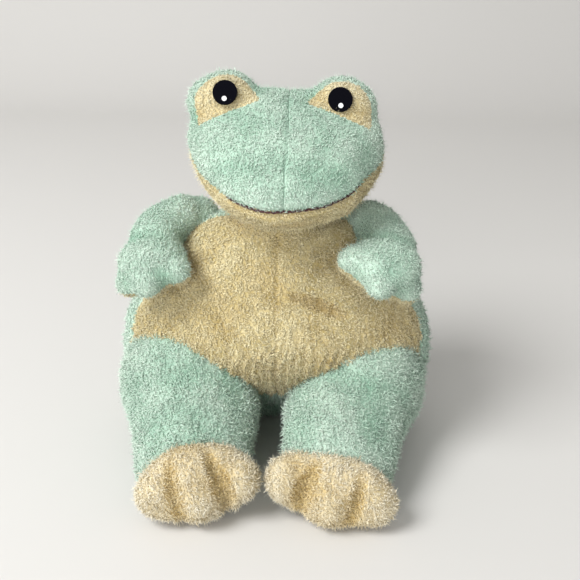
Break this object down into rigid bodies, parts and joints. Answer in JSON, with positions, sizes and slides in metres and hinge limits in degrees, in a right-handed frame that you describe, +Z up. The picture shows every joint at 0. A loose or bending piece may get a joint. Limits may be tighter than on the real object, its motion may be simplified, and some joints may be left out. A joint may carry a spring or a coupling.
{
  "type": "plush frog",
  "caption": "Seated plush frog with a turning head, arms that open and legs that lift, sewn from green and yellow plush over loose stuffing.",
  "frame": {"origin": "middle of the underside, where the toy rests", "axes": "+Z up, -Y the way the frog faces, +X to the frog's left"},
  "size_m": [0.2578, 0.2334, 0.2994],
  "materials": {
    "mint_plush": "matte",
    "yellow_plush": "matte",
    "cream_plush": "matte",
    "pupil_satin": "satin",
    "glint_thread": "satin",
    "mouth_thread": "matte",
    "fibre_stuffing": "matte",
    "pellet_pouch": "matte"
  },
  "bodies": {
    "torso": {"back_panel": "mint_plush", "belly_panel_right": "yellow_plush", "belly_panel_left": "yellow_plush", "body_filling": "fibre_stuffing", "seat_pellets": "pellet_pouch"},
    "neck": {"neck_filling": "fibre_stuffing"},
    "head": {"head_crown_right": "mint_plush", "head_crown_left": "mint_plush", "jaw_panel": "yellow_plush", "head_filling": "fibre_stuffing", "eye_patch_right": "yellow_plush", "eye_patch_left": "yellow_plush", "pupil_right": "pupil_satin", "pupil_left": "pupil_satin", "glint_right": "glint_thread", "glint_left": "glint_thread", "mouth_stitching": "mouth_thread"},
    "right_arm": {"arm_top_right": "mint_plush", "arm_under_right": "yellow_plush", "arm_filling_right": "fibre_stuffing"},
    "left_arm": {"arm_top_left": "mint_plush", "arm_under_left": "yellow_plush", "arm_filling_left": "fibre_stuffing"},
    "right_leg": {"leg_right": "mint_plush", "leg_filling_right": "fibre_stuffing", "foot_top_right": "cream_plush", "foot_sole_right": "cream_plush", "foot_filling_right": "fibre_stuffing"},
    "left_leg": {"leg_left": "mint_plush", "leg_filling_left": "fibre_stuffing", "foot_top_left": "cream_plush", "foot_sole_left": "cream_plush", "foot_filling_left": "fibre_stuffing"}
  },
  "joints": [
    {"name": "neck_turn", "type": "hinge", "parent": "torso", "child": "neck", "pos_m": [0, 0.03963, 0.193], "axis": [0, 0, 1], "range_deg": [-25, 25], "stiffness_Nm_per_rad": 1},
    {"name": "neck_nod", "type": "hinge", "parent": "neck", "child": "head", "pos_m": [0, 0.03963, 0.193], "axis": [1, 0, 0], "range_deg": [-7, 7], "stiffness_Nm_per_rad": 2},
    {"name": "shoulder_right", "type": "hinge", "parent": "torso", "child": "right_arm", "pos_m": [-0.064, 0.05563, 0.178], "axis": [-0.342, 0, -0.9397], "range_deg": [0, 45], "stiffness_Nm_per_rad": 0.4},
    {"name": "shoulder_left", "type": "hinge", "parent": "torso", "child": "left_arm", "pos_m": [0.064, 0.05563, 0.178], "axis": [-0.342, 0, 0.9397], "range_deg": [0, 45], "stiffness_Nm_per_rad": 0.4},
    {"name": "hip_right", "type": "hinge", "parent": "torso", "child": "right_leg", "pos_m": [-0.069, 0.01363, 0.055], "axis": [-1, 0, 0], "range_deg": [-20, 15], "stiffness_Nm_per_rad": 1},
    {"name": "hip_left", "type": "hinge", "parent": "torso", "child": "left_leg", "pos_m": [0.0665, 0.01363, 0.055], "axis": [-1, 0, 0], "range_deg": [-20, 15], "stiffness_Nm_per_rad": 1}
  ]
}
